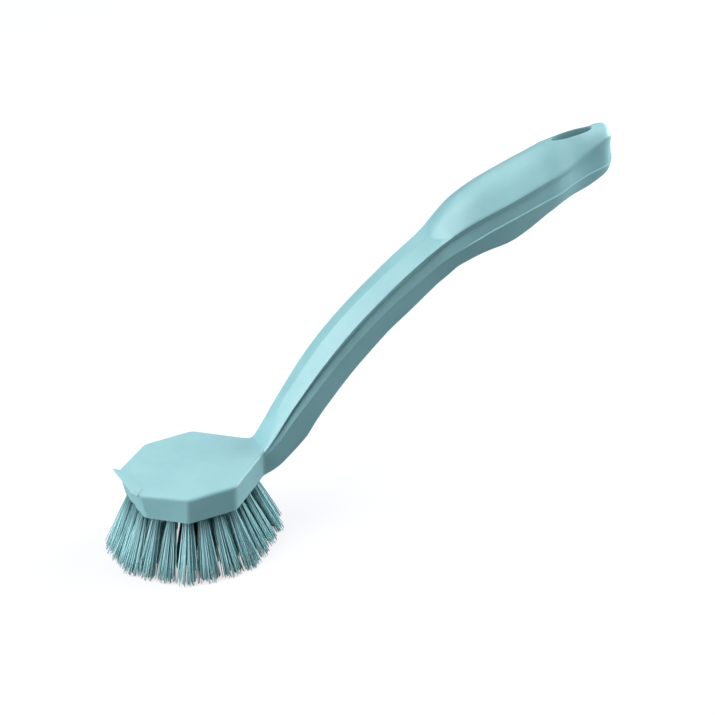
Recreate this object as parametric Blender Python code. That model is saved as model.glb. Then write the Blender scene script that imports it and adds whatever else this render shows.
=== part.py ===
"""Sink brush: one plastic moulding from head to tail, with bristle tufts pinned by flat wire anchors.

The head stands over the bristles. +X runs from the head to the tail of the handle, +Z is up, and the brush
is alike on its +Y and -Y sides. Everything is built about the middle of the head's top face and then hung on
one empty, which puts the middle of the brush over the origin and the bristle tips on the ground. All sizes
are in metres.
"""
import bisect
import math

import bmesh
import bpy
from mathutils import Matrix, Vector

# Head, an octagon from above, measured from the middle of its top face
HEAD_FRONT = 0.0344
HEAD_REAR = 0.0370
HEAD_SHOULDER = 0.0130
HEAD_HALF_WIDTH = 0.0266
HEAD_FRONT_HALF_WIDTH = 0.0118
HEAD_DEPTH = 0.0150
HEAD_CORNER_RADIUS = 0.0060
HEAD_FRONT_CORNER_RADIUS = 0.0050
HEAD_TOP_EDGE = 0.0018
HEAD_LIP = 0.0006
HEAD_FRONT_RAKE = 0.0035

# Scraping edge along the front of the head
SCRAPER_OVERHANG = 0.0026
SCRAPER_HALF_WIDTH = 0.0118
SCRAPER_RISE = 0.0020
SCRAPER_EDGE = 0.0005
SCRAPER_RAMP = 0.0080
SCRAPER_RAMP_HALF_WIDTH = 0.0062
SCRAPER_ROOT = 0.0030

# Handle, measured from the rear of the head, where the neck begins
HANDLE_REACH = 0.1970
HANDLE_RISE = 0.1370
NECK_ROOT_HALF_WIDTH = 0.0073
NECK_HALF_WIDTH = 0.0095
NECK_ROOT_RADIUS = 0.0030
NECK_FILLET = 0.0039
NECK_RIDGE = 0.0042
NECK_FLAT_HALF_WIDTH = 0.0063
GRIP_HALF_WIDTH = 0.0156
TAIL_HALF_WIDTH = 0.0076
CREASE_RADIUS = 0.0011
SIDE_HOLLOW = 0.0015
SEAM_BULGE = 0.0004
SEAM_STEP = 0.0009
SEAM_EASE = 0.0004
TAIL_SEAM_BULGE = 0.0014
BELLY_TUCK = 0.0018
BELLY_RADIUS = 0.0040
TAIL_ROUND = 0.0090
TAIL_EDGE = 0.0040

# Raised top of the grip
POD_START = 0.0965
POD_STEP_RUN = 0.0014
POD_NOSE = 0.0240
POD_BOW = 0.0070
POD_CROWN = 0.0126
TAIL_CROWN_POWER = 1.5

# Hanging hole through the tail
HOLE_LENGTH = 0.0220
HOLE_HALF_WIDTH = 0.0025
HOLE_TAIL_WALL = 0.0103
HOLE_RIM = 0.0008
HOLE_RIM_DEPTH = 0.0024

# Bristles: tufts of strands, each folded over a flat wire anchor in its own blind hole
BRISTLE_LENGTH = 0.0320
TUFT_RADIUS = 0.0023
TUFT_DEPTH = 0.0085
TUFT_EDGE_MARGIN = 0.0052
TUFT_LEAN_DEGREES = 24.4
TUFT_FRONT_LEAN_DEGREES = 18.6
STRAND_SIDE = 0.00055
STRAND_PITCH = 0.00094
STRAND_SINK = 0.0010
ANCHOR_THICKNESS = 0.0005
ANCHOR_HEIGHT = 0.0020
ANCHOR_COVER = 0.0009
CLEARANCE = 0.0003
CUT_OVERRUN = 0.0020

OUTER_TUFTS = 22
INNER_TUFTS = 6
TUFT_SIDES = 12
HOLE_SIDES = 32
ARC_STEPS = 5
HANDLE_STEP = 0.0045
ROOT_STEP = 0.0012

# Lines of the handle: share of the handle's reach, share of its rise
CREASE_SHARES = (
    (0.003, -0.004), (0.033, 0.052), (0.065, 0.125), (0.108, 0.212), (0.156, 0.302), (0.209, 0.387),
    (0.271, 0.472), (0.344, 0.558), (0.416, 0.636), (0.491, 0.708), (0.529, 0.748), (0.572, 0.7859),
    (0.638, 0.8239), (0.708, 0.8557), (0.79, 0.8918), (0.834, 0.9036), (0.88, 0.9154), (0.903, 0.9289),
    (0.944, 0.951), (0.976, 0.97), (1, 0.975),
)
SEAM_SHARES = (
    (0.01, -0.016), (0.047, 0.036), (0.081, 0.104), (0.128, 0.184), (0.177, 0.268), (0.23, 0.345),
    (0.294, 0.431), (0.367, 0.513), (0.444, 0.583), (0.516, 0.6561), (0.568, 0.703), (0.634, 0.7469),
    (0.699, 0.7776), (0.77, 0.8066), (0.848, 0.8285), (0.919, 0.8436), (1, 0.86),
)
BELLY_SHARES = (
    (0.029, -0.099), (0.071, -0.073), (0.096, -0.04), (0.122, -0.005), (0.155, 0.068), (0.195, 0.141),
    (0.259, 0.244), (0.31, 0.314), (0.359, 0.378), (0.42, 0.442), (0.475, 0.504), (0.525, 0.5661),
    (0.55, 0.5974), (0.618, 0.6372), (0.69, 0.6565), (0.749, 0.6934), (0.793, 0.7282), (0.848, 0.7555),
    (0.919, 0.7636), (0.99, 0.805),
)
# The roof of the neck: share of the reach, share of NECK_RIDGE over the crease or of the flat's half width
RIDGE_SHARES = (
    (0.004, 0.34), (0.026, 0.48), (0.049, 0.81), (0.079, 0.91), (0.139, 0.99), (0.19, 1.0), (0.247, 0.965),
    (0.323, 0.83), (0.397, 0.64), (0.44, 0.43), (0.477, 0.19), (0.554, 0.1),
)
FLAT_SHARES = (
    (0.0, 1.0), (0.014, 0.89), (0.026, 0.64), (0.037, 0.41), (0.049, 0.19), (0.06, 0.10), (0.079, 0.05),
    (0.14, 0.035), (0.554, 0.035),
)
# How far the half width has gone from neck to grip, and from grip to tail, along the reach
NECK_TO_GRIP_SHARES = (
    (0.208, 0.0), (0.44, 0.0), (0.485, 0.016), (0.50, 0.13), (0.52, 0.28), (0.54, 0.43), (0.57, 0.66),
    (0.60, 0.80), (0.64, 0.93), (0.68, 1.0),
)
GRIP_TO_TAIL_SHARES = (
    (0.76, 0.04), (0.79, 0.085), (0.82, 0.155), (0.85, 0.37), (0.88, 0.65), (0.91, 0.825), (0.94, 0.94),
    (0.97, 0.975), (1.0, 1.0),
)
# The raised top along its length: height of the crown as a share of POD_CROWN, and below it the share of the
# half width that its barrel takes
CROWN_SHARES = (
    (0.0, 0.25), (0.05, 0.445), (0.10, 0.56), (0.17, 0.64), (0.25, 0.70), (0.33, 0.684), (0.42, 0.64),
    (0.534, 0.70), (0.592, 0.82), (0.65, 0.955), (0.709, 1.0), (0.767, 0.975), (0.825, 0.80),
    (0.883, 0.575), (0.942, 0.35), (1.0, 0.255),
)
BARREL_SHARES = ((0.0, 0.28), (0.10, 0.33), (0.17, 0.44), (0.25, 0.46), (1.0, 0.46))
# How far the barrel's edges stand under its middle, share of the crown's height, and where it turns round
BARREL_DROP_SHARE = 0.23
FACET_END_SHARE = 0.48
ROUND_START_SHARE = 0.67
# Where the side's hollow is deepest, share of the way from crease to seam
HOLLOW_PLACE_SHARE = 0.38
# Where the rounded edge of the top is cut into columns, from the flat to the crease
EDGE_SHARES = (0.34, 0.64, 0.866, 1.0)
# Where the end of the tail is cut into sections, share of its rounding
TAIL_END_SHARES = (0.0, 0.3, 0.5, 0.66, 0.78, 0.87, 0.94, 0.98, 0.997)
ROUND_POWER = 2.5
# Size of the inner ring of tufts and its lean, as shares of the outer ring's, and the spread of a tuft's tips
INNER_RING_SHARE = 0.36
INNER_LEAN_SHARE = 0.35
TIP_SPREAD_SHARE = 2.1
SQUARE = ((-1, -1), (1, -1), (1, 1), (-1, 1))
STRAND_ROWS = (2, 3, 4, 3, 2)
FLAT_ANGLE = math.radians(0.2)
SHARP_ANGLE = math.radians(30)

# Places along the brush, from the middle of the head
GROUND = -(HEAD_DEPTH + BRISTLE_LENGTH)
TAIL_END = HEAD_REAR + HANDLE_REACH
POD_FRONT = HEAD_REAR + POD_START
NECK_START = HEAD_REAR - NECK_FILLET
ROOT_END = HEAD_REAR + NECK_FILLET * 3
BELLY_ROUND_END = HEAD_REAR + BELLY_RADIUS * 4

PLASTIC = (0.220, 0.465, 0.500, 1.0)
BRISTLE_PLASTIC = (0.360, 0.640, 0.680, 1.0)
STEEL = (0.60, 0.60, 0.58, 1.0)


def rail(points):
    """Smooth line through the points, never past them: its height at any place along."""
    xs = [p[0] for p in points]
    ys = [p[1] for p in points]
    slopes = [(ys[i + 1] - ys[i]) / (xs[i + 1] - xs[i]) for i in range(len(xs) - 1)]
    tangents = [slopes[0]]
    for a, b in zip(slopes, slopes[1:]):
        tangents.append(2 * a * b / (a + b) if a * b > 0 else 0.0)
    tangents.append(slopes[-1])

    def at(x):
        i = min(max(bisect.bisect_right(xs, x) - 1, 0), len(xs) - 2)
        run = xs[i + 1] - xs[i]
        t = min(max((x - xs[i]) / run, 0.0), 1.0)
        rise = (ys[i + 1] - ys[i]) * t * t * (3 - 2 * t)
        return ys[i] + rise + run * t * (1 - t) * (tangents[i] * (1 - t) - tangents[i + 1] * t)

    return at


def handle_rail(start, shares, size):
    """A line of the handle that starts in the head and follows its shares of a named size."""
    points = [(HEAD_REAR + HANDLE_REACH * along, size * share) for along, share in shares]
    return rail([(NECK_START, start)] + points)


def rounded_outline(corners, radii):
    """Points of an open outline with each inner corner rounded by an arc of its own radius."""
    points = [Vector(corners[0])]
    for before, corner, after, radius in zip(corners, corners[1:], corners[2:], radii):
        into = (Vector(corner) - Vector(before)).normalized()
        out = (Vector(after) - Vector(corner)).normalized()
        turn = into.angle_signed(out)
        reach = radius * math.tan(abs(turn) / 2)
        start = Vector(corner) - into * reach
        side = Vector((-into.y, into.x)) * (-1 if turn > 0 else 1)
        centre = start + side * radius
        for step in range(ARC_STEPS + 1):
            spoke = Matrix.Rotation(-turn * step / ARC_STEPS, 2) @ (start - centre)
            points.append(centre + spoke)
    points.append(Vector(corners[-1]))
    return points


def polyline(points):
    """Straight lines between the points: their height at any place along."""
    xs = [p[0] for p in points]

    def at(x):
        i = min(max(bisect.bisect_right(xs, x) - 1, 0), len(xs) - 2)
        t = min(max((x - xs[i]) / (xs[i + 1] - xs[i]), 0.0), 1.0)
        return points[i][1] + (points[i + 1][1] - points[i][1]) * t

    return at


def width_points():
    """Half width of the handle from the neck's root to the tail."""
    points = [(HEAD_REAR, NECK_ROOT_HALF_WIDTH)]
    for shares, start, end in (
        (NECK_TO_GRIP_SHARES, NECK_HALF_WIDTH, GRIP_HALF_WIDTH),
        (GRIP_TO_TAIL_SHARES, GRIP_HALF_WIDTH, TAIL_HALF_WIDTH),
    ):
        for along, share in shares:
            points.append((HEAD_REAR + HANDLE_REACH * along, start + (end - start) * share))
    return points


def pod_rail(shares, size):
    """A value of the raised top, from its shares along the grip."""
    length = TAIL_END - POD_FRONT
    return rail([(POD_FRONT + length * along, size * share) for along, share in shares])


HANDLE_WIDTH = rail(width_points())
HEAD_CORNERS = (
    (-HEAD_FRONT, HEAD_FRONT_HALF_WIDTH),
    (-HEAD_SHOULDER, HEAD_HALF_WIDTH),
    (HEAD_SHOULDER, HEAD_HALF_WIDTH),
    (HEAD_REAR, NECK_ROOT_HALF_WIDTH),
)
NECK_JOIN = HEAD_REAR + NECK_ROOT_RADIUS
HEAD_OUTLINE = rounded_outline(
    ((-HEAD_FRONT, 0.0),) + HEAD_CORNERS + ((NECK_JOIN, HANDLE_WIDTH(NECK_JOIN)),),
    (HEAD_FRONT_CORNER_RADIUS, HEAD_CORNER_RADIUS, HEAD_CORNER_RADIUS, NECK_ROOT_RADIUS),
)[1:]
HEAD_WIDTH = polyline(HEAD_OUTLINE)
CREASE = handle_rail(-HEAD_TOP_EDGE, CREASE_SHARES, HANDLE_RISE)
SEAM = handle_rail(-HEAD_DEPTH / 2, SEAM_SHARES, HANDLE_RISE)
BELLY = handle_rail(-HEAD_DEPTH, BELLY_SHARES, HANDLE_RISE)
RIDGE = handle_rail(HEAD_TOP_EDGE, RIDGE_SHARES, NECK_RIDGE)
FLAT = handle_rail(HEAD_HALF_WIDTH, FLAT_SHARES, NECK_FLAT_HALF_WIDTH)
CROWN = pod_rail(CROWN_SHARES, POD_CROWN)
BARREL = pod_rail(BARREL_SHARES, 1.0)


def blend(x, start, end):
    """0 before start, 1 after end, straight between."""
    return min(max((x - start) / (end - start), 0.0), 1.0)


def half_width(x):
    return HEAD_WIDTH(x) if x < NECK_JOIN else HANDLE_WIDTH(x)


def rounding(x, length):
    """How much of its full size a section keeps as the tail's end rounds off over a length."""
    return (1 - blend(x, TAIL_END - length, TAIL_END) ** ROUND_POWER) ** (1 / ROUND_POWER)


def flat_share(x):
    """Share of the half width that the flat of the neck's roof takes."""
    width = half_width(x)
    return min(FLAT(x), width - HEAD_TOP_EDGE) / width


def crown_share(x, across):
    """Share of the crown's height at a place across: barrel and flat facet, or all round at the tail."""
    edge = BARREL(x)
    if across < edge:
        faceted = 1 - BARREL_DROP_SHARE * (across / edge) ** 2
    else:
        faceted = (1 - BARREL_DROP_SHARE) * (1 - across) / (1 - edge)
    length = TAIL_END - POD_FRONT
    rounded = blend(x, POD_FRONT + length * FACET_END_SHARE, POD_FRONT + length * ROUND_START_SHARE)
    return faceted + (1 - across ** TAIL_CROWN_POWER - faceted) * rounded


def top_height(x, across, raised):
    """Height of the top at a share of the half width: roof of the neck, or crown of the grip."""
    flat = flat_share(x)
    bend = 2 - blend(x, HEAD_REAR, ROOT_END)
    neck = RIDGE(x) * (1 - blend(across, flat, 1.0) ** bend) ** (1 / bend)
    return CREASE(x) + neck + (CROWN(x) * crown_share(x, across) - neck) * raised


def section(place):
    """Half of one cross-section, from the middle of the top over the side to the middle of the belly."""
    raised = blend(place, POD_FRONT, POD_FRONT + POD_STEP_RUN)
    flat = BARREL(place) if raised else flat_share(place)
    bow = POD_BOW * max(0.0, 1 - abs(place - POD_FRONT) / POD_NOSE)
    on_neck = blend(place, HEAD_REAR, BELLY_ROUND_END)
    at_tail = blend(place, POD_FRONT, TAIL_END)
    points = []
    for share in [0.0, flat / 2, flat] + [flat + (1 - flat) * edge for edge in EDGE_SHARES]:
        x = place + bow * share * share
        points.append(Vector((x, share * half_width(x), top_height(x, share, raised))))
    x = place + bow
    width = half_width(x)
    bulge = SEAM_BULGE * on_neck + (TAIL_SEAM_BULGE - SEAM_BULGE) * at_tail
    seam = Vector((x, width + bulge, SEAM(x)))
    ledge = seam + Vector((0, -SEAM_STEP * blend(place, POD_FRONT, POD_FRONT + POD_NOSE), SEAM_EASE))
    corner = Vector((x, width - BELLY_TUCK * on_neck, BELLY(x)))
    radius = HEAD_LIP + (BELLY_RADIUS - HEAD_LIP) * on_neck
    start = corner + (seam - corner).normalized() * radius
    end = corner - Vector((0, radius, 0))
    crease = points.pop()
    fillet = HEAD_LIP / 2 + (CREASE_RADIUS - HEAD_LIP / 2) * on_neck
    before = crease + (points[-1] - crease).normalized() * fillet
    hollow = crease.lerp(ledge, HOLLOW_PLACE_SHARE) - Vector((0, SIDE_HOLLOW * on_neck, 0))
    after = crease + (hollow - crease).normalized() * fillet
    points += [before, (before + after + crease * 2) / 4, after, hollow, ledge, seam]
    for step in range(ARC_STEPS):
        t = step / (ARC_STEPS - 1)
        points.append(start * (1 - t) ** 2 + corner * 2 * t * (1 - t) + end * t * t)
    points.append(Vector((x, 0.0, BELLY(x))))
    middle = (points[0].z + points[-1].z) / 2
    for point in points:
        rake = -point.z / HEAD_DEPTH * blend(-point.x, HEAD_SHOULDER, HEAD_FRONT)
        point.y *= rounding(place, TAIL_ROUND)
        point.z = middle + (point.z - middle) * rounding(place, TAIL_EDGE)
        point.x += HEAD_FRONT_RAKE * rake
    return points


def steps(start, end, length):
    """Even places from start up to, but not at, end."""
    count = max(1, round((end - start) / length))
    return [start + (end - start) * i / count for i in range(count)]


def places():
    """Where the cross-sections stand along the brush."""
    found = [point.x for point in HEAD_OUTLINE if point.x < NECK_START]
    found += steps(NECK_START, ROOT_END, ROOT_STEP)
    found += steps(ROOT_END, POD_FRONT, HANDLE_STEP)
    found += [POD_FRONT]
    found += steps(POD_FRONT + POD_STEP_RUN, POD_FRONT + POD_NOSE, HANDLE_STEP / 2)
    found += steps(POD_FRONT + POD_NOSE, TAIL_END - TAIL_ROUND, HANDLE_STEP)
    found += [TAIL_END - TAIL_ROUND * (1 - share) for share in TAIL_END_SHARES]
    return found


def loft(rings):
    """Closed skin over a row of rings with a flat face at both ends."""
    bm = bmesh.new()
    rows = [[bm.verts.new(point) for point in ring] for ring in rings]
    for row, following in zip(rows, rows[1:]):
        for i in range(len(row)):
            j = (i + 1) % len(row)
            bm.faces.new((row[i], row[j], following[j], following[i]))
    bm.faces.new(reversed(rows[0]))
    bm.faces.new(rows[-1])
    bmesh.ops.recalc_face_normals(bm, faces=bm.faces)
    return bm


def to_mesh(bm, name):
    mesh = bpy.data.meshes.new(name)
    bm.to_mesh(mesh)
    bm.free()
    return mesh


def combine(mesh, others, operation):
    """The mesh after a Boolean with each of the other closed meshes, which are used up."""
    target = bpy.data.objects.new("combine_target", mesh)
    bpy.context.scene.collection.objects.link(target)
    tools = []
    for other in others:
        tool = bpy.data.objects.new("combine_tool", other)
        bpy.context.scene.collection.objects.link(tool)
        modifier = target.modifiers.new("combine", "BOOLEAN")
        modifier.operation = operation
        modifier.solver = "EXACT"
        modifier.object = tool
        tools.append(tool)
    graph = bpy.context.evaluated_depsgraph_get()
    result = bpy.data.meshes.new_from_object(target.evaluated_get(graph))
    for item in [target] + tools:
        spent = item.data
        bpy.data.objects.remove(item)
        bpy.data.meshes.remove(spent)
    return result


def add_part(name, mesh, material, parent):
    """Put one finished piece in the scene under its own name."""
    mesh.name = name
    mesh.materials.clear()
    mesh.materials.append(material)
    mesh.shade_smooth()
    mesh.set_sharp_from_angle(angle=SHARP_ANGLE)
    part = bpy.data.objects.new(name, mesh)
    part.parent = parent
    bpy.context.scene.collection.objects.link(part)
    return part


def make_material(name, colour, roughness, metallic):
    material = bpy.data.materials.new(name)
    material.use_nodes = True
    shader = material.node_tree.nodes["Principled BSDF"]
    shader.inputs["Base Color"].default_value = colour
    shader.inputs["Roughness"].default_value = roughness
    shader.inputs["Metallic"].default_value = metallic
    material.diffuse_color = colour
    return material


def hull(points, name):
    """Solid that wraps the points."""
    bm = bmesh.new()
    for point in points:
        bm.verts.new(point)
    bmesh.ops.convex_hull(bm, input=bm.verts)
    bmesh.ops.delete(bm, geom=[v for v in bm.verts if not v.link_faces], context="VERTS")
    bmesh.ops.recalc_face_normals(bm, faces=bm.faces)
    return to_mesh(bm, name)


def scraper_mesh():
    """Wedge that climbs from the head's top to a sharp edge past its front."""
    lip = -HEAD_FRONT - SCRAPER_OVERHANG
    ramp = -HEAD_FRONT + SCRAPER_RAMP
    middle = (ramp - HEAD_FRONT) / 2
    points = []
    for side in (-1, 1):
        points += [
            (lip, side * SCRAPER_HALF_WIDTH, SCRAPER_RISE),
            (lip, side * SCRAPER_HALF_WIDTH, SCRAPER_RISE - SCRAPER_EDGE),
            (ramp, side * SCRAPER_RAMP_HALF_WIDTH, -SCRAPER_EDGE),
            (middle, side * (SCRAPER_RAMP_HALF_WIDTH + SCRAPER_HALF_WIDTH) / 2, -SCRAPER_EDGE),
            (-HEAD_FRONT, side * SCRAPER_HALF_WIDTH, -SCRAPER_EDGE),
            (-HEAD_FRONT, side * SCRAPER_RAMP_HALF_WIDTH, -SCRAPER_ROOT),
            (ramp, side * SCRAPER_RAMP_HALF_WIDTH, -SCRAPER_ROOT),
        ]
    return hull(points, "scraper")


def oval(centre, grown, level):
    """Ring of the hanging hole, grown all round, at a height that follows a line of the handle."""
    ring = []
    for step in range(HOLE_SIDES):
        angle = math.tau * step / HOLE_SIDES
        x = centre + (HOLE_LENGTH / 2 + grown) * math.cos(angle)
        ring.append(Vector((x, (HOLE_HALF_WIDTH + grown) * math.sin(angle), level(x))))
    return ring


def hole_mesh():
    """Hanging hole through the tail, with its rims eased at the top and the belly."""
    centre = TAIL_END - HOLE_TAIL_WALL - HOLE_LENGTH / 2
    rim = HOLE_RIM * (HOLE_RIM_DEPTH + CUT_OVERRUN) / HOLE_RIM_DEPTH
    rings = [
        oval(centre, rim, lambda x: BELLY(x) - CUT_OVERRUN),
        oval(centre, 0.0, lambda x: BELLY(x) + HOLE_RIM_DEPTH),
        oval(centre, 0.0, lambda x: CREASE(x) + CROWN(x) - HOLE_RIM_DEPTH),
        oval(centre, rim, lambda x: CREASE(x) + CROWN(x) + CUT_OVERRUN),
        oval(centre, rim, lambda x: HANDLE_RISE + POD_CROWN + CUT_OVERRUN),
    ]
    return to_mesh(loft(rings), "hole")


def inset(corners, margin):
    """Corners of a closed outline moved in by a margin along every edge."""
    moved = []
    for i, corner in enumerate(corners):
        lines = []
        for a, b in ((corners[i - 1], corner), (corner, corners[(i + 1) % len(corners)])):
            along = (Vector(b) - Vector(a)).normalized()
            inward = Vector((along.y, -along.x))
            lines.append((Vector(corner) + inward * margin, along))
        (p, d), (q, e) = lines
        t = (q - p).cross(e) / d.cross(e)
        moved.append(p + d * t)
    return moved


def around(corners, count):
    """Even places around a closed outline, the first at the middle of its front edge."""
    start = (corners[-1] + corners[0]) / 2
    path = [start] + list(corners) + [start]
    lengths = [(b - a).length for a, b in zip(path, path[1:])]
    found = []
    for k in range(count):
        left = sum(lengths) * k / count
        i = 0
        while left > lengths[i]:
            left -= lengths[i]
            i += 1
        found.append(path[i] + (path[i + 1] - path[i]) * (left / lengths[i]))
    return found


def tuft_places():
    """Mouth of each tuft hole on the underside, and how far it leans outward."""
    corners = list(HEAD_CORNERS) + [(x, -y) for x, y in reversed(HEAD_CORNERS)]
    outline = inset(corners, TUFT_EDGE_MARGIN)
    found = []
    for count, size, leaning in ((OUTER_TUFTS, 1, 1), (INNER_TUFTS, INNER_RING_SHARE, INNER_LEAN_SHARE)):
        for point in around([corner * size for corner in outline], count):
            forward = max(0.0, -point.normalized().x)
            lean = TUFT_LEAN_DEGREES + (TUFT_FRONT_LEAN_DEGREES - TUFT_LEAN_DEGREES) * forward
            found.append((point, math.radians(lean) * leaning))
    found.append((Vector((0.0, 0.0)), 0.0))
    return found


def tuft_frame(point, tilt):
    """Frame of a tuft at its mouth: across, outward and down along the tuft."""
    outward = point.normalized() if point.length > TUFT_RADIUS else Vector((-1.0, 0.0))
    out = Vector((outward.x, outward.y, 0))
    across = Vector((-outward.y, outward.x, 0))
    down = out * math.sin(tilt) - Vector((0, 0, math.cos(tilt)))
    frame = Matrix((across, down.cross(across), down)).transposed().to_4x4()
    frame.translation = Vector((point.x, point.y, -HEAD_DEPTH))
    return frame, across, out


def tube(radius, top, bottom, frame):
    """Round bar along a tuft's axis."""
    rings = []
    for depth in (top, bottom):
        ring = []
        for i in range(TUFT_SIDES):
            angle = math.tau * i / TUFT_SIDES
            ring.append(frame @ Vector((radius * math.cos(angle), radius * math.sin(angle), depth)))
        rings.append(ring)
    return loft(rings)


def box(size, centre, frame):
    bm = bmesh.new()
    bmesh.ops.create_cube(bm, size=1.0)
    bmesh.ops.scale(bm, vec=size, verts=bm.verts)
    bmesh.ops.translate(bm, vec=centre, verts=bm.verts)
    bmesh.ops.transform(bm, matrix=frame, verts=bm.verts)
    return bm


def strand_places():
    """Strands of a tuft in staggered rows, alike on both sides."""
    found = []
    for row, count in enumerate(STRAND_ROWS):
        away = (row - len(STRAND_ROWS) // 2) * STRAND_PITCH * math.sqrt(3) / 2
        found += [((i - (count - 1) / 2) * STRAND_PITCH, away) for i in range(count)]
    return found


def strands_mesh(frame, across, out):
    """All strands of one tuft, spreading from the mouth to tips trimmed level with the ground."""
    bm = bmesh.new()
    down = frame.to_3x3() @ Vector((0, 0, 1))
    middle_tip = frame.translation + down * (BRISTLE_LENGTH / -down.z)
    half = STRAND_SIDE / 2
    for u, v in strand_places():
        root = [frame @ Vector((u + a * half, v + b * half, -STRAND_SINK)) for a, b in SQUARE]
        tip = middle_tip + (across * u + out * v) * TIP_SPREAD_SHARE
        ends = [tip + across * a * half + out * b * half for a, b in SQUARE]
        rows = [[bm.verts.new(p) for p in ring] for ring in (root, ends)]
        for i in range(4):
            j = (i + 1) % 4
            bm.faces.new((rows[0][i], rows[0][j], rows[1][j], rows[1][i]))
        bm.faces.new(reversed(rows[0]))
        bm.faces.new(rows[1])
    bmesh.ops.recalc_face_normals(bm, faces=bm.faces)
    return to_mesh(bm, "strands")


def anchor_centre():
    return -TUFT_DEPTH + ANCHOR_COVER + CLEARANCE + ANCHOR_HEIGHT / 2


def make_tuft(name, frame, across, out, material, parent):
    """Strands fused at the root into the plug that fills their hole, with a window for the anchor."""
    plug = to_mesh(tube(TUFT_RADIUS, -TUFT_DEPTH, 0.0, frame), "plug")
    size = (TUFT_RADIUS * 3, ANCHOR_THICKNESS + CLEARANCE * 2, ANCHOR_HEIGHT + CLEARANCE * 2)
    window = to_mesh(box(size, (0, 0, anchor_centre()), frame), "window")
    plug = combine(plug, [window], "DIFFERENCE")
    tuft = combine(plug, [strands_mesh(frame, across, out)], "UNION")
    return add_part(name, tuft, material, parent)


def make_anchor(name, frame, material, parent):
    """Flat piece of wire that pins the fold of a tuft."""
    blade = box((TUFT_RADIUS * 2, ANCHOR_THICKNESS, ANCHOR_HEIGHT), (0, 0, anchor_centre()), frame)
    return add_part(name, to_mesh(blade, name), material, parent)


def make_handle(frames, material, parent):
    """Head, neck and grip in one skin, with the scraping edge, the hanging hole and the tuft holes."""
    rings = []
    for place in places():
        half = section(place)
        rings.append(half + [Vector((p.x, -p.y, p.z)) for p in reversed(half[1:-1])])
    skin = loft(rings)
    bmesh.ops.dissolve_limit(skin, angle_limit=FLAT_ANGLE, verts=skin.verts, edges=skin.edges)
    handle = combine(to_mesh(skin, "handle"), [scraper_mesh()], "UNION")
    bore = TUFT_RADIUS + CLEARANCE
    cutters = [hole_mesh()]
    for frame in frames:
        cutters.append(to_mesh(tube(bore, -TUFT_DEPTH - CLEARANCE, CUT_OVERRUN, frame), "bore"))
    return add_part("handle_body", combine(handle, cutters, "DIFFERENCE"), material, parent)


def stand(parent, parts):
    """Move the brush so that it stands on the ground with its middle over the origin."""
    corners = [corner for part in parts for corner in (v.co for v in part.data.vertices)]
    low = min(corner.x for corner in corners)
    high = max(corner.x for corner in corners)
    parent.location = (-(low + high) / 2, 0, -GROUND)


def main():
    for item in list(bpy.data.objects):
        bpy.data.objects.remove(item)
    plastic = make_material("handle_plastic", PLASTIC, 0.35, 0.0)
    bristle = make_material("bristle_plastic", BRISTLE_PLASTIC, 0.45, 0.0)
    steel = make_material("anchor_steel", STEEL, 0.35, 1.0)
    brush = bpy.data.objects.new("brush", None)
    bpy.context.scene.collection.objects.link(brush)
    found = [tuft_frame(point, tilt) for point, tilt in tuft_places()]
    parts = [make_handle([frame for frame, across, out in found], plastic, brush)]
    for i, (frame, across, out) in enumerate(found):
        parts.append(make_tuft(f"bristle_tuft_{i + 1:02d}", frame, across, out, bristle, brush))
        parts.append(make_anchor(f"tuft_anchor_{i + 1:02d}", frame, steel, brush))
    stand(brush, parts)


main()
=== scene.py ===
"""Looks of the sink brush: its moulded handle and its folded bristle tufts, on a pale floor in soft light."""
import math
import random

import bpy
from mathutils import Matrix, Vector


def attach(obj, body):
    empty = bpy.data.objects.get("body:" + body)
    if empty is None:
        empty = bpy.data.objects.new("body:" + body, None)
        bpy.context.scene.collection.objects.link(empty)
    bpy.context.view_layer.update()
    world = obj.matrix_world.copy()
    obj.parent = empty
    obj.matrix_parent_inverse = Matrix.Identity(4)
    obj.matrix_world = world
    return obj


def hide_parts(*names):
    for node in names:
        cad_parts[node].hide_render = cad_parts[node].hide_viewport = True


# Shading of the handle: corners this close are one, edges over these angles are sharp, and the head ends here
JOIN_DISTANCE = 0.000002
SHARP_ANGLE = math.radians(28)
HEAD_SHARP_ANGLE = math.radians(11)
HEAD_END = -0.056

# Turn and stretch of the noise that draws the long scratches, and how near its middle a scratch lies
SCRATCH_TURN = (0.2, 0.55, 0.35)
SCRATCH_STRETCH = (0.10, 1.0, 1.0)
SCRATCH_WIDTH = 0.010

# Camera: its turn round the brush, its rise, the point it looks at and how wide the view is there
CAMERA_TURN = math.radians(-26.3)
CAMERA_RISE = math.radians(35.6)
CAMERA_TARGET = Vector((-0.0062, -0.0091, 0.0906))
CAMERA_LENS = 300.0
CAMERA_SENSOR = 36.0
VIEW_WIDTH = 0.3575

# Tufts of the CAD, how low their cut tips lie, and how many digits of a corner's place count
TUFTS = 29
OUTER_TUFTS = 22
CUT_HEIGHT = 0.0006
CORNER_DIGITS = 7

# Ring of tufts between the outer ring and the inner one, and its size beside the outer ring's
RING_TUFTS = 14
RING_SHARE = 0.68
RING_TIP_SHARE = RING_SHARE * 0.985

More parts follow.
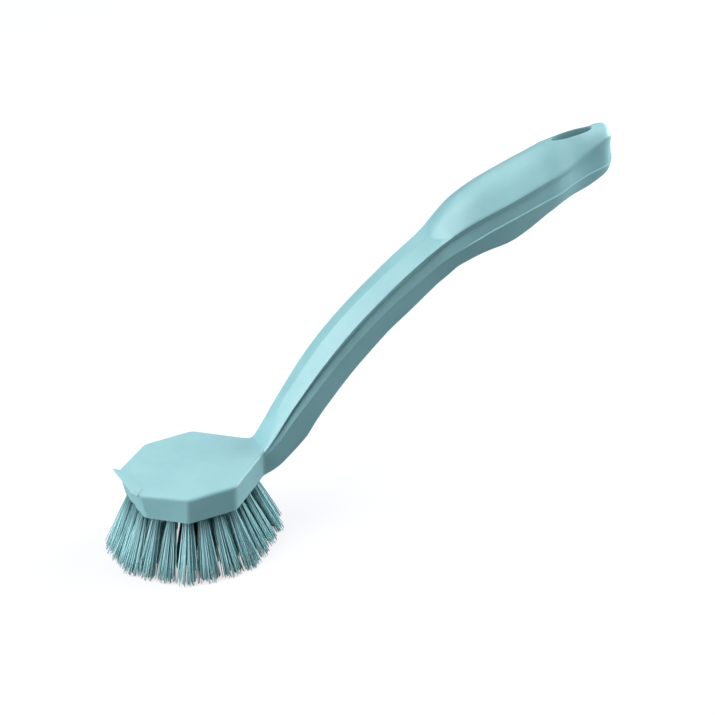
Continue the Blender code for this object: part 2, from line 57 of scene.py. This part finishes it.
# Filaments: loops to a tuft, their thickness, and how far they spread at the head and at their tips
LOOPS = 46
FILAMENT_RADIUS = 0.00022
FILAMENT_SIDES = 5
FILAMENT_UNEVEN = 0.1
TIP_SHARE = 0.82
HEAD_UNDERSIDE = 0.0320
ROOT_RADIUS = 0.0022
FAN_WIDTH = 1.62
FAN_MARGIN = FILAMENT_RADIUS * 1.5
INNER_FULLNESS = 1.9
GOLDEN_TURN = 2.39996
TURN_UNEVEN = 0.25
LEAST_SPREAD = 0.88
SECOND_LEG_LEAST = 0.75
SECOND_LEG_MOST = 1.1
STRAY_SHARE = 0.04
STRAY_REACH = 1.35
TIP_RAGGED = 0.0028
TIP_RAGGED_POWER = 1.6
LEAST_LENGTH = 0.001
LEG_BOW = 0.00032
LEG_RINGS = 4

# First seeds of the random draws, for the tufts of the CAD and for those of the ring
TUFT_SEED = 100
RING_SEED = 500

# The fold over the flat wire: how far out its sides stand, how wide it runs and how high it goes
FOLD_SIDE = 0.00062
FOLD_SIDE_SPREAD = 0.0009
FOLD_WIDTH = 0.0013
FOLD_HEIGHT = 0.00145
FOLD_HEIGHT_SPREAD = 0.0012

# Colours of the moulded handle and of the filaments
PLASTIC = (0.220, 0.465, 0.500, 1.0)
FILAMENT = (0.360, 0.640, 0.680, 1.0)

# Light: how much of the floor's white is its own, its paint, its reach, and each soft box's place and power
FLOOR_GLOW = (0.735, 0.68, 0.69, 1.0)
FLOOR_PAINT = (0.20, 0.255, 0.27, 1.0)
FLOOR_REACH = 1.0
LAMP_SIZE = 0.75
LIGHTS = (
    ("left_box", (-0.916, 0.010, 0.364), 8.4),
    ("left_front_box", (-0.880, -0.260, 0.330), 1.4),
    ("left_top_box", (-0.573, 0.085, 0.847), 5.8),
    ("top_box", (-0.006, -0.009, 1.041), 1.0),
    ("right_top_box", (0.640, -0.200, 0.770), 4.6),
    ("right_box", (0.904, -0.009, 0.364), 11.2),
    ("right_front_box", (0.880, -0.240, 0.420), 1.9),
    ("rear_box", (0.540, 0.719, 0.364), 1.0),
    ("rear_top_box", (0.108, 0.637, 0.775), 1.6),
)


def node(tree, kind, place, **values):
    """One shader node, with its plain properties set."""
    made = tree.nodes.new(kind)
    made.location = place
    for name, value in values.items():
        setattr(made, name, value)
    return made


def feed(tree, socket, value):
    """Links a socket to another one, or sets it to a plain value."""
    if isinstance(value, bpy.types.NodeSocket):
        tree.links.new(value, socket)
    else:
        socket.default_value = value


def math_node(tree, place, operation, first, second):
    """A sum, product or the like of two sockets or numbers."""
    made = node(tree, "ShaderNodeMath", place, operation=operation)
    feed(tree, made.inputs[0], first)
    feed(tree, made.inputs[1], second)
    return made.outputs[0]


def tinted(colour, red, green, blue):
    """A colour with each of its parts made weaker or stronger."""
    return colour[0] * red, colour[1] * green, colour[2] * blue, 1.0


def mix_colour(tree, place, mask, under, over):
    """Colour that goes from one to the other where the mask says so."""
    made = node(tree, "ShaderNodeMix", place, data_type="RGBA")
    feed(tree, made.inputs[0], mask)
    feed(tree, made.inputs[6], under)
    feed(tree, made.inputs[7], over)
    return made.outputs[2]


def spread_between(tree, place, mask, low, high, start=0.0, end=1.0):
    """Value that goes smoothly from low to high as the mask goes from start to end."""
    made = node(tree, "ShaderNodeMapRange", place, interpolation_type="SMOOTHSTEP")
    feed(tree, made.inputs["Value"], mask)
    for name, value in (("From Min", start), ("From Max", end), ("To Min", low), ("To Max", high)):
        feed(tree, made.inputs[name], value)
    return made.outputs[0]


def new_group(name, inputs, outputs):
    """An empty node group with its named sockets, its input node and its output node."""
    tree = bpy.data.node_groups.new(name, "ShaderNodeTree")
    for label, kind, value in inputs:
        tree.interface.new_socket(label, in_out="INPUT", socket_type=kind).default_value = value
    for label, kind in outputs:
        tree.interface.new_socket(label, in_out="OUTPUT", socket_type=kind)
    return tree, node(tree, "NodeGroupInput", (-1000, 0)), node(tree, "NodeGroupOutput", (1000, 0))


def placed_group(tree, shared, place, values):
    """A shared group in a material, with the material's own values."""
    made = node(tree, "ShaderNodeGroup", place, node_tree=shared)
    for name, value in values.items():
        feed(tree, made.inputs[name], value)
    return made


def grain_noise(tree, place, where, scale, detail, rough):
    """Noise read at a place in space."""
    made = node(tree, "ShaderNodeTexNoise", place)
    feed(tree, made.inputs["Vector"], where)
    feed(tree, made.inputs["Scale"], scale)
    feed(tree, made.inputs["Detail"], detail)
    feed(tree, made.inputs["Roughness"], rough)
    return made.outputs["Fac"]


def add_relief(tree, shader, height, strength, distance):
    """Fine bumps on a surface, from a height."""
    relief = node(tree, "ShaderNodeBump", (-200, -250))
    relief.inputs["Strength"].default_value = strength
    relief.inputs["Distance"].default_value = distance
    feed(tree, relief.inputs["Height"], height)
    feed(tree, shader.inputs["Normal"], relief.outputs["Normal"])


def edge_highlight_and_wear_group():
    """Mask of the outer edges, broken up in patches, for pale rubbed wear and a painted edge highlight."""
    tree, given, out = new_group(
        "edge_highlight_and_wear",
        [("Radius", "NodeSocketFloat", 0.0008), ("Patch Scale", "NodeSocketFloat", 180.0)],
        [("Mask", "NodeSocketFloat")],
    )
    rounded = node(tree, "ShaderNodeBevel", (-700, 150), samples=4)
    feed(tree, rounded.inputs["Radius"], given.outputs["Radius"])
    face = node(tree, "ShaderNodeNewGeometry", (-700, -50))
    facing = node(tree, "ShaderNodeVectorMath", (-450, 100), operation="DOT_PRODUCT")
    feed(tree, facing.inputs[0], rounded.outputs["Normal"])
    feed(tree, facing.inputs[1], face.outputs["Normal"])
    edge = spread_between(tree, (-200, 100), facing.outputs["Value"], 1.0, 0.0, 0.76, 0.955)
    where = node(tree, "ShaderNodeTexCoord", (-700, -300))
    patch = grain_noise(tree, (-450, -300), where.outputs["Object"], given.outputs["Patch Scale"], 4.0, 0.6)
    left = spread_between(tree, (-200, -250), patch, 0.25, 1.0, 0.35, 0.62)
    feed(tree, out.inputs["Mask"], math_node(tree, (100, 0), "MULTIPLY", edge, left))
    return tree


def moulded_grain_group():
    """Height and mask of a moulded surface: faint waves, fine grain and a few long scratches."""
    tree, given, out = new_group(
        "moulded_grain",
        [
            ("Grain Scale", "NodeSocketFloat", 1400.0),
            ("Wave Scale", "NodeSocketFloat", 45.0),
            ("Scratch Scale", "NodeSocketFloat", 60.0),
        ],
        [("Height", "NodeSocketFloat"), ("Scratches", "NodeSocketFloat"), ("Clouds", "NodeSocketFloat")],
    )
    where = node(tree, "ShaderNodeTexCoord", (-900, 300))
    place = where.outputs["Object"]
    grain = grain_noise(tree, (-500, 400), place, given.outputs["Grain Scale"], 2.0, 0.5)
    waves = grain_noise(tree, (-500, 150), place, given.outputs["Wave Scale"], 1.0, 0.4)
    turned = node(tree, "ShaderNodeMapping", (-700, -100))
    feed(tree, turned.inputs["Vector"], place)
    turned.inputs["Rotation"].default_value = SCRATCH_TURN
    turned.inputs["Scale"].default_value = SCRATCH_STRETCH
    lines = grain_noise(tree, (-500, -100), turned.outputs[0], given.outputs["Scratch Scale"], 1.0, 0.5)
    offset = math_node(tree, (-420, -100), "SUBTRACT", lines, 0.5)
    away = math_node(tree, (-350, -100), "ABSOLUTE", offset, 0.0)
    near = spread_between(tree, (-250, -100), away, 1.0, 0.0, 0.0, SCRATCH_WIDTH)
    clouds = grain_noise(tree, (-500, -350), place, given.outputs["Wave Scale"], 5.0, 0.62)
    here = spread_between(tree, (-250, -250), clouds, 0.0, 1.0, 0.52, 0.62)
    thin = math_node(tree, (-50, -150), "MULTIPLY", near, here)
    rough = math_node(tree, (0, 350), "MULTIPLY", grain, 0.10)
    bumps = math_node(tree, (200, 250), "ADD", rough, waves)
    cut = math_node(tree, (0, 50), "MULTIPLY", thin, 0.06)
    feed(tree, out.inputs["Height"], math_node(tree, (450, 150), "SUBTRACT", bumps, cut))
    feed(tree, out.inputs["Scratches"], thin)
    feed(tree, out.inputs["Clouds"], clouds)
    return tree


def new_material(name):
    """A material with a bare Principled BSDF."""
    made = bpy.data.materials.new(name)
    made.use_nodes = True
    return made, made.node_tree, made.node_tree.nodes["Principled BSDF"]


def handle_material(wear_and_highlight_group, grain):
    """Satin moulded plastic: cloudy tint, pale edges that are partly rubbed wear and partly a painted
    highlight, painted shade in the creases, fine scratches and grain.
    """
    made, tree, shader = new_material("handle_plastic")
    lit_and_worn_edges = placed_group(tree, wear_and_highlight_group, (-900, 300), {"Radius": 0.0007, "Patch Scale": 170.0})
    scales = {"Grain Scale": 1500.0, "Wave Scale": 42.0, "Scratch Scale": 131.0}
    surface = placed_group(tree, grain, (-900, 0), scales)
    deep = tinted(PLASTIC, 1.0, 0.93, 0.94)
    light = tinted(PLASTIC, 1.16, 1.02, 1.01)
    # Pale edge colour: partly rubbed wear, partly a painted highlight along the edges
    rubbed_and_highlit = tinted(PLASTIC, 1.7, 1.32, 1.28)
    # Painted shade: the darker colour for creases and recesses
    painted_crease_shade = tinted(PLASTIC, 0.38, 0.52, 0.55)
    clouds = spread_between(tree, (-600, 250), surface.outputs["Clouds"], 0.0, 1.0, 0.3, 0.7)
    body = mix_colour(tree, (-400, 300), clouds, deep, light)
    # Painted shade: the colour darkens where surfaces close in, in creases, grooves and under the crease of
    # the top
    shade_occlusion = node(tree, "ShaderNodeAmbientOcclusion", (-900, 550), samples=8)
    shade_occlusion.inputs["Distance"].default_value = 0.0032
    crease_shade_mask = spread_between(tree, (-600, 600), shade_occlusion.outputs["AO"], 0.75, 0.0, 0.45, 0.95)
    # Painted edge highlight and rubbed wear: the edges turn paler
    worn = math_node(tree, (-600, 450), "MULTIPLY", lit_and_worn_edges.outputs["Mask"], 0.45)
    rubbed_and_highlit_body = mix_colour(tree, (-200, 350), worn, body, rubbed_and_highlit)
    feed(tree, shader.inputs["Base Color"], mix_colour(tree, (-50, 450), crease_shade_mask, rubbed_and_highlit_body, painted_crease_shade))
    gloss = spread_between(tree, (-600, 0), surface.outputs["Clouds"], 0.30, 0.37, 0.3, 0.7)
    dull = math_node(tree, (-400, 0), "MULTIPLY", surface.outputs["Scratches"], 0.05)
    feed(tree, shader.inputs["Roughness"], math_node(tree, (-200, 0), "ADD", gloss, dull))
    add_relief(tree, shader, surface.outputs["Height"], 0.07, 0.0012)
    shader.inputs["IOR"].default_value = 1.48
    shader.inputs["Specular IOR Level"].default_value = 0.36
    shader.inputs["Coat Weight"].default_value = 0.18
    shader.inputs["Coat Roughness"].default_value = 0.34
    return made


def filament_material(grain):
    """Drawn filament: each with its own tint, dull at its cut tip, with faint lengthwise streaks, and painted
    shade darkening it toward the head.
    """
    made, tree, shader = new_material("bristle_plastic")
    tone = node(tree, "ShaderNodeAttribute", (-900, 350), attribute_name="strand_tone").outputs["Fac"]
    along = node(tree, "ShaderNodeAttribute", (-900, 150), attribute_name="strand_along").outputs["Fac"]
    scales = {"Grain Scale": 2600.0, "Wave Scale": 160.0, "Scratch Scale": 240.0}
    surface = placed_group(tree, grain, (-900, -100), scales)
    deep = tinted(FILAMENT, 0.45, 0.55, 0.57)
    light = tinted(FILAMENT, 1.36, 1.30, 1.27)
    frayed = tinted(FILAMENT, 1.7, 1.35, 1.30)
    shaded = tinted(FILAMENT, 0.25, 0.34, 0.36)
    mixed = math_node(tree, (-650, 0), "MULTIPLY", surface.outputs["Clouds"], 0.25)
    uneven = math_node(tree, (-450, 0), "SUBTRACT", mixed, 0.12)
    streaked = math_node(tree, (-600, 300), "ADD", tone, uneven)
    body = mix_colour(tree, (-300, 300), streaked, deep, light)
    tips = spread_between(tree, (-600, 150), along, 0.0, 0.6, 0.90, 1.0)
    # Painted shade: the filaments darken toward the head, where it shades them
    painted_root_shade = spread_between(tree, (-600, -50), along, 0.85, 0.0, 0.32, 0.62)
    worn = mix_colour(tree, (-100, 300), tips, body, frayed)
    feed(tree, shader.inputs["Base Color"], mix_colour(tree, (50, 300), painted_root_shade, worn, shaded))
    feed(tree, shader.inputs["Roughness"], spread_between(tree, (-300, 100), along, 0.30, 0.52, 0.75, 1.0))
    add_relief(tree, shader, surface.outputs["Height"], 0.15, 0.0002)
    shader.inputs["IOR"].default_value = 1.55
    return made


def anchor_material(grain):
    """Flat drawn wire, dull with fine lengthwise lines."""
    made, tree, shader = new_material("anchor_steel")
    scales = {"Grain Scale": 3200.0, "Wave Scale": 300.0, "Scratch Scale": 500.0}
    surface = placed_group(tree, grain, (-900, 0), scales)
    dull = (0.42, 0.42, 0.41, 1.0)
    bright = (0.66, 0.66, 0.64, 1.0)
    clouds = surface.outputs["Clouds"]
    feed(tree, shader.inputs["Base Color"], mix_colour(tree, (-300, 200), clouds, dull, bright))
    feed(tree, shader.inputs["Roughness"], spread_between(tree, (-300, 0), clouds, 0.25, 0.45))
    add_relief(tree, shader, surface.outputs["Height"], 0.2, 0.0001)
    shader.inputs["Metallic"].default_value = 1.0
    return made


def rounded_place(place):
    """A place with its last digits off, so that corners at the same place are equal."""
    return tuple(round(c, CORNER_DIGITS) for c in place)


def cad_points(name):
    """The places of a CAD node's corners, each once."""
    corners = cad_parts[name].data.vertices
    return [Vector(p) for p in sorted({rounded_place(corner.co) for corner in corners})]


def middle_of(points):
    """The mean of several places."""
    return sum(points, Vector()) / len(points)


def tuft_of(number):
    """A tuft of the CAD: its anchor's middle, the way across the wire, its tip's middle and radius."""
    wire = cad_points(f"tuft_anchor_{number:02d}")
    corner = wire[0]
    thin = min((p - corner for p in wire[1:]), key=lambda side: side.length).normalized()
    tips = [p for p in cad_points(f"bristle_tuft_{number:02d}") if p.z < CUT_HEIGHT]
    tip = middle_of(tips)
    return middle_of(wire), thin, Vector((tip.x, tip.y, 0.0)), max((p - tip).length for p in tips)


def ring_tufts(tufts, head):
    """The staggered ring of tufts between the outer ring and the inner one, which only the looks have."""
    outer = tufts[:OUTER_TUFTS]
    corners = [[t[side] - head for t in outer] for side in (0, 2)]
    steps = [(corners[0][(i + 1) % OUTER_TUFTS] - corners[0][i]).length for i in range(OUTER_TUFTS)]
    found = []
    for k in range(RING_TUFTS):
        goal = sum(steps) * (k + 0.5) / RING_TUFTS
        at = 0
        while goal > steps[at]:
            goal -= steps[at]
            at += 1
        share = goal / steps[at]
        places = []
        for line, size in ((corners[0], RING_SHARE), (corners[1], RING_TIP_SHARE)):
            point = line[at].lerp(line[(at + 1) % OUTER_TUFTS], share)
            places.append(Vector((point.x * size, point.y * size, point.z)) + head)
        axis = (places[1] - places[0]).normalized()
        thin = axis.cross(Vector((-axis.y, axis.x, 0.0)))
        found.append((places[0], thin.normalized(), places[1], outer[at][3]))
    return found


def tube_rings(path, radii, sides):
    """Rings of corners round a path, each turned as little as can be from the last."""
    rings = []
    side = None
    for i, point in enumerate(path):
        ahead = (path[min(i + 1, len(path) - 1)] - path[max(i - 1, 0)]).normalized()
        if side is None:
            side = ahead.orthogonal().normalized()
        else:
            side = (side - ahead * side.dot(ahead)).normalized()
        other = ahead.cross(side)
        turns = [2 * math.pi * k / sides for k in range(sides)]
        rings.append([point + (side * math.cos(t) + other * math.sin(t)) * radii[i] for t in turns])
    return rings


def leg_path(root, tip, bow):
    """One leg of a loop, from its mouth in the head to its tip, with a slight bow."""
    shares = [i / LEG_RINGS for i in range(1, LEG_RINGS + 1)]
    return [root.lerp(tip, share) + bow * math.sin(math.pi * share) for share in shares]


def tuft_fan(tuft, head):
    """How far a tuft's tips spread: wide along its ring, and no further out than the CAD's."""
    out = (tuft[2] - head).xy.to_3d()
    if out.length < tuft[3]:
        return Vector((1.0, 0.0, 0.0)), tuft[3] * INNER_FULLNESS, tuft[3] * INNER_FULLNESS
    return out.cross(Vector((0.0, 0.0, 1.0))).normalized(), tuft[3] * FAN_WIDTH, tuft[3]


def tuft_loops(tuft, head, chance):
    """The paths of a tuft's loops: tip, mouth, over the wire, mouth, tip."""
    anchor, thin, tip, _ = tuft
    beside_ring, fan_width, fan_depth = tuft_fan(tuft, head)
    axis = (tip - anchor).normalized()
    along = axis.cross(thin).normalized()
    mouth = anchor + axis * ((anchor.z - HEAD_UNDERSIDE) / -axis.z)
    loops = []
    for k in range(LOOPS):
        size = math.sqrt((k + 0.5) / LOOPS)
        turn = k * GOLDEN_TURN + chance.uniform(-TURN_UNEVEN, TURN_UNEVEN)
        legs = []
        for way in (1.0, -1.0):
            across = abs(math.cos(turn)) * size * way
            uneven = 1.0 if way > 0 else chance.uniform(SECOND_LEG_LEAST, SECOND_LEG_MOST)
            beside = math.sin(turn) * size * uneven
            root = mouth + (thin * across + along * beside) * ROOT_RADIUS
            spread = (thin * across + along * beside) * chance.uniform(LEAST_SPREAD, 1.0)
            if chance.random() < STRAY_SHARE:
                spread *= STRAY_REACH
            wide = spread.dot(beside_ring)
            deep = (spread - beside_ring * wide).xy.to_3d()
            deep *= min(1.0, 1.0 / max(deep.length, LEAST_LENGTH))
            goal = tip + beside_ring * wide * fan_width + deep * (fan_depth - FAN_MARGIN)
            goal.z = FILAMENT_RADIUS
            height = TIP_RAGGED * chance.random() ** TIP_RAGGED_POWER
            goal = root.lerp(goal, 1.0 - height / HEAD_UNDERSIDE)
            bow = (thin * chance.uniform(-1, 1) + along * chance.uniform(-1, 1)) * LEG_BOW
            side = thin * (FOLD_SIDE + FOLD_SIDE_SPREAD * abs(across)) * way
            wall = anchor + side + along * beside * FOLD_WIDTH
            legs.append((root, goal, bow, wall))
        raised = FOLD_HEIGHT + FOLD_HEIGHT_SPREAD * size
        over = anchor - axis * raised + along * math.sin(turn) * size * FOLD_WIDTH
        first, second = legs
        path = list(reversed(leg_path(*first[:3]))) + [first[0], first[3], over, second[3], second[0]]
        loops.append(path + leg_path(*second[:3]))
    return loops


def bristle_piece(name, tuft, head, material, seed):
    """One tuft as a mesh of closed filaments."""
    chance = random.Random(seed)
    points, faces, tones, lengths = [], [], [], []
    for path in tuft_loops(tuft, head, chance):
        radius = FILAMENT_RADIUS * chance.uniform(1.0 - FILAMENT_UNEVEN, 1.0 + FILAMENT_UNEVEN)
        radii = [radius * TIP_SHARE] + [radius] * (len(path) - 2) + [radius * TIP_SHARE]
        tone = chance.random()
        middle = (len(path) - 1) / 2
        start = len(points)
        for i, ring in enumerate(tube_rings(path, radii, FILAMENT_SIDES)):
            points += ring
            tones += [tone] * FILAMENT_SIDES
            lengths += [abs(i - middle) / middle] * FILAMENT_SIDES
        for i in range(len(path) - 1):
            for k in range(FILAMENT_SIDES):
                low, next_k = start + i * FILAMENT_SIDES, (k + 1) % FILAMENT_SIDES
                faces.append((low + k, low + next_k, low + FILAMENT_SIDES + next_k, low + FILAMENT_SIDES + k))
        last = start + (len(path) - 1) * FILAMENT_SIDES
        faces.append(tuple(reversed(range(start, start + FILAMENT_SIDES))))
        faces.append(tuple(range(last, last + FILAMENT_SIDES)))
    mesh = bpy.data.meshes.new(name)
    mesh.from_pydata(points, [], faces)
    for label, values in (("strand_tone", tones), ("strand_along", lengths)):
        mesh.attributes.new(label, "FLOAT", "POINT").data.foreach_set("value", values)
    mesh.shade_smooth()
    mesh.materials.append(material)
    piece = bpy.data.objects.new(name, mesh)
    bpy.context.scene.collection.objects.link(piece)
    return piece


def add_bristles(material):
    """A piece for each tuft of the CAD, and the ring of tufts that only the looks have."""
    tufts = [tuft_of(number) for number in range(1, TUFTS + 1)]
    head = Vector((tufts[-1][0].x, tufts[-1][0].y, 0.0))
    for number, tuft in enumerate(tufts, 1):
        piece = bristle_piece(f"bristles_{number:02d}", tuft, head, material, TUFT_SEED + number)
        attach(piece, "root")
        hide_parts(f"bristle_tuft_{number:02d}")
    for number, tuft in enumerate(ring_tufts(tufts, head), 1):
        piece = bristle_piece(f"ring_bristles_{number:02d}", tuft, head, material, RING_SEED + number)
        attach(piece, "root")


def even_shading():
    """Geometry nodes that shade a moulded skin smoothly between its sharp edges."""
    tree = bpy.data.node_groups.new("even_shading", "GeometryNodeTree")
    tree.interface.new_socket("Geometry", in_out="INPUT", socket_type="NodeSocketGeometry")
    tree.interface.new_socket("Geometry", in_out="OUTPUT", socket_type="NodeSocketGeometry")
    given = node(tree, "NodeGroupInput", (-600, 0))
    out = node(tree, "NodeGroupOutput", (600, 0))
    joined = node(tree, "GeometryNodeMergeByDistance", (-350, 0))
    joined.inputs["Distance"].default_value = JOIN_DISTANCE
    feed(tree, joined.inputs["Geometry"], given.outputs["Geometry"])
    angle = node(tree, "GeometryNodeInputMeshEdgeAngle", (-350, -200))
    where = node(tree, "ShaderNodeSeparateXYZ", (-600, -400))
    feed(tree, where.inputs[0], node(tree, "GeometryNodeInputPosition", (-800, -400)).outputs[0])
    behind = node(tree, "FunctionNodeCompare", (-350, -400), data_type="FLOAT", operation="GREATER_THAN")
    feed(tree, behind.inputs["A"], where.outputs["X"])
    behind.inputs["B"].default_value = HEAD_END
    limit = node(tree, "GeometryNodeSwitch", (-200, -400), input_type="FLOAT")
    feed(tree, limit.inputs["Switch"], behind.outputs["Result"])
    limit.inputs["False"].default_value = HEAD_SHARP_ANGLE
    limit.inputs["True"].default_value = SHARP_ANGLE
    sharp = node(tree, "FunctionNodeCompare", (-100, -200), data_type="FLOAT", operation="GREATER_THAN")
    feed(tree, sharp.inputs["A"], angle.outputs["Unsigned Angle"])
    feed(tree, sharp.inputs["B"], limit.outputs["Output"])
    shaded = node(tree, "GeometryNodeSetMeshNormal", (200, 0), mode="SHARPNESS")
    feed(tree, shaded.inputs["Mesh"], joined.outputs["Geometry"])
    shaded.inputs["Remove Custom"].default_value = True
    feed(tree, shaded.inputs["Edge Sharpness"], sharp.outputs["Result"])
    shaded.inputs["Face Sharpness"].default_value = False
    feed(tree, out.inputs["Geometry"], shaded.outputs["Mesh"])
    return tree


def dress_cad(handle, anchor):
    """The CAD nodes that stay get their finished materials, and the handle's skin an even shading."""
    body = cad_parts["handle_body"]
    body.modifiers.new("even_shading", "NODES").node_group = even_shading()
    weighted = body.modifiers.new("weighted_shading", "WEIGHTED_NORMAL")
    weighted.mode = "FACE_AREA_WITH_ANGLE"
    weighted.keep_sharp = True
    for name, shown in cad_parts.items():
        if name.startswith("bristle"):
            continue
        shown.data.materials.clear()
        shown.data.materials.append(handle if name == "handle_body" else anchor)


def add_floor():
    """A pale floor that shows white round the brush, keeps its soft shadow and can't be seen from below."""
    made = bpy.data.materials.new("floor_paint")
    made.use_nodes = True
    tree = made.node_tree
    tree.nodes.clear()
    paint = node(tree, "ShaderNodeBsdfDiffuse", (-400, 100))
    paint.inputs["Color"].default_value = FLOOR_PAINT
    lift = node(tree, "ShaderNodeEmission", (-400, -100))
    lift.inputs["Color"].default_value = FLOOR_GLOW
    ray = node(tree, "ShaderNodeLightPath", (-900, 300))
    feed(tree, lift.inputs["Strength"], ray.outputs["Is Camera Ray"])
    both = node(tree, "ShaderNodeAddShader", (-200, 0))
    feed(tree, both.inputs[0], paint.outputs[0])
    feed(tree, both.inputs[1], lift.outputs[0])
    clear = node(tree, "ShaderNodeBsdfTransparent", (-200, -200))
    face = node(tree, "ShaderNodeNewGeometry", (-400, 400))
    chosen = node(tree, "ShaderNodeMixShader", (50, 0))
    feed(tree, chosen.inputs[0], face.outputs["Backfacing"])
    feed(tree, chosen.inputs[1], both.outputs[0])
    feed(tree, chosen.inputs[2], clear.outputs[0])
    out = node(tree, "ShaderNodeOutputMaterial", (250, 0))
    feed(tree, out.inputs["Surface"], chosen.outputs[0])
    mesh = bpy.data.meshes.new("floor")
    corners = [(x * FLOOR_REACH, y * FLOOR_REACH, 0) for x, y in ((-1, -1), (1, -1), (1, 1), (-1, 1))]
    mesh.from_pydata(corners, [], [(0, 1, 2, 3)])
    mesh.materials.append(made)
    floor = bpy.data.objects.new("floor", mesh)
    bpy.context.scene.collection.objects.link(floor)


def add_world():
    """White behind the brush, which lights nothing."""
    world = bpy.data.worlds.new("studio")
    bpy.context.scene.world = world
    world.use_nodes = True
    tree = world.node_tree
    sky = tree.nodes["Background"]
    ray = node(tree, "ShaderNodeLightPath", (-700, 0))
    sky.inputs["Color"].default_value = (1.0, 1.0, 1.0, 1.0)
    feed(tree, sky.inputs["Strength"], ray.outputs["Is Camera Ray"])


def add_lights():
    """Soft boxes to the left, the right and above, with two weak ones behind."""
    for name, place, power in LIGHTS:
        lamp = bpy.data.lights.new(name, "AREA")
        lamp.size = LAMP_SIZE
        lamp.energy = power
        made = bpy.data.objects.new(name, lamp)
        made.location = place
        made.rotation_mode = "QUATERNION"
        made.rotation_quaternion = (CAMERA_TARGET - Vector(place)).to_track_quat("-Z", "Y")
        bpy.context.scene.collection.objects.link(made)


def add_camera():
    """The camera at the photograph's angle, far off with a long lens."""
    back = Vector((
        math.sin(CAMERA_TURN) * math.cos(CAMERA_RISE),
        -math.cos(CAMERA_TURN) * math.cos(CAMERA_RISE),
        math.sin(CAMERA_RISE),
    ))
    data = bpy.data.cameras.new("camera")
    data.lens = CAMERA_LENS
    data.sensor_width = CAMERA_SENSOR
    away = VIEW_WIDTH * CAMERA_LENS / CAMERA_SENSOR
    data.clip_start = away * 0.1
    data.clip_end = away * 10
    camera = bpy.data.objects.new("camera", data)
    camera.location = CAMERA_TARGET + back * away
    camera.rotation_mode = "QUATERNION"
    camera.rotation_quaternion = back.to_track_quat("Z", "Y")
    bpy.context.scene.collection.objects.link(camera)
    bpy.context.scene.camera = camera


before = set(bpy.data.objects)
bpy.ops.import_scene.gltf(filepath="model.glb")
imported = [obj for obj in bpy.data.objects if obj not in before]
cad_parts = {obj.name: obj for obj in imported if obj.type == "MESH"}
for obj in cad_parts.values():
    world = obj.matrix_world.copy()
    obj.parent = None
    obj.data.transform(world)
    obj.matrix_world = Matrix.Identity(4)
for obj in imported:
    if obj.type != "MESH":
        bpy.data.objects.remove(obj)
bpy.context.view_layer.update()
bpy.context.scene.view_settings.view_transform = "Standard"
wear_and_highlight_mask = edge_highlight_and_wear_group()
moulded_grain = moulded_grain_group()
dress_cad(handle_material(wear_and_highlight_mask, moulded_grain), anchor_material(moulded_grain))
add_bristles(filament_material(moulded_grain))
add_floor()
add_world()
add_lights()
add_camera()
